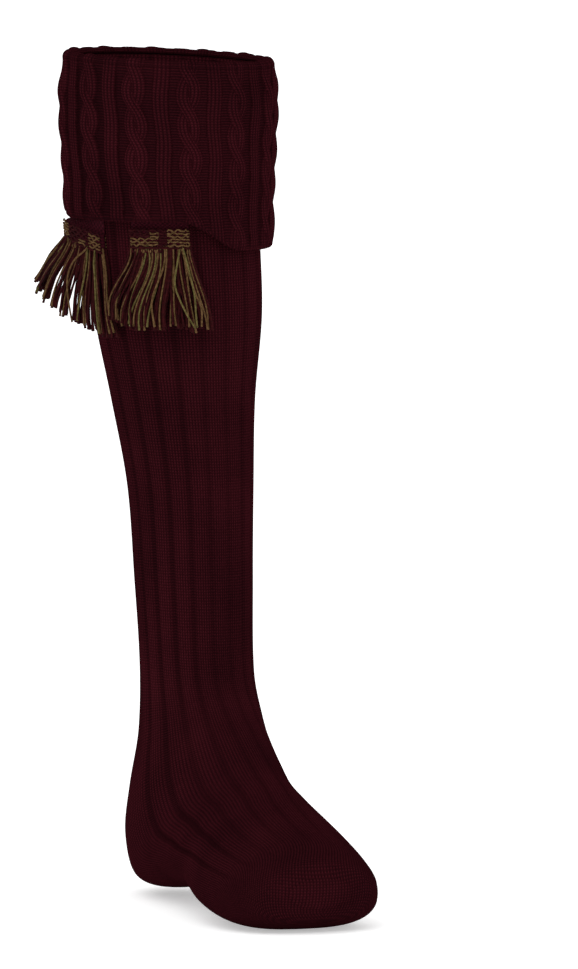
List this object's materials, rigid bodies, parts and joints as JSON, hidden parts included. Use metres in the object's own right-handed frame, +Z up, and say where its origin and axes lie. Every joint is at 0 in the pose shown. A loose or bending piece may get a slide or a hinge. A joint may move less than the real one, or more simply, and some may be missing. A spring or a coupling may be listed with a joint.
{
  "type": "shooting sock",
  "caption": "Knee-high ribbed shooting sock in its worn form, with a turned-over cable-knit cuff and a garter ending in fringed tassels.",
  "frame": {"origin": "middle of the leg opening at the top of the turned-over cuff, where the leg goes in", "axes": "+Z up out of the leg opening, -Y towards the toe, -X towards the outer side of a right leg"},
  "size_m": [0.113, 0.2433, 0.4383],
  "materials": {
    "rib_knit": "matt burgundy wool-blend knit with broad ribs",
    "cable_knit": "matt burgundy wool-blend knit with rope cables between ribbed panels",
    "garter_weave": "plain burgundy woven garter",
    "fringe_yarn": "plied yarn ends in burgundy and olive under a woven header"
  },
  "bodies": {
    "root": {"leg_and_foot": "rib_knit", "turnover_cuff": "cable_knit", "garter_band": "garter_weave", "tassel_front": "fringe_yarn", "tassel_side": "fringe_yarn"}
  },
  "joints": []
}
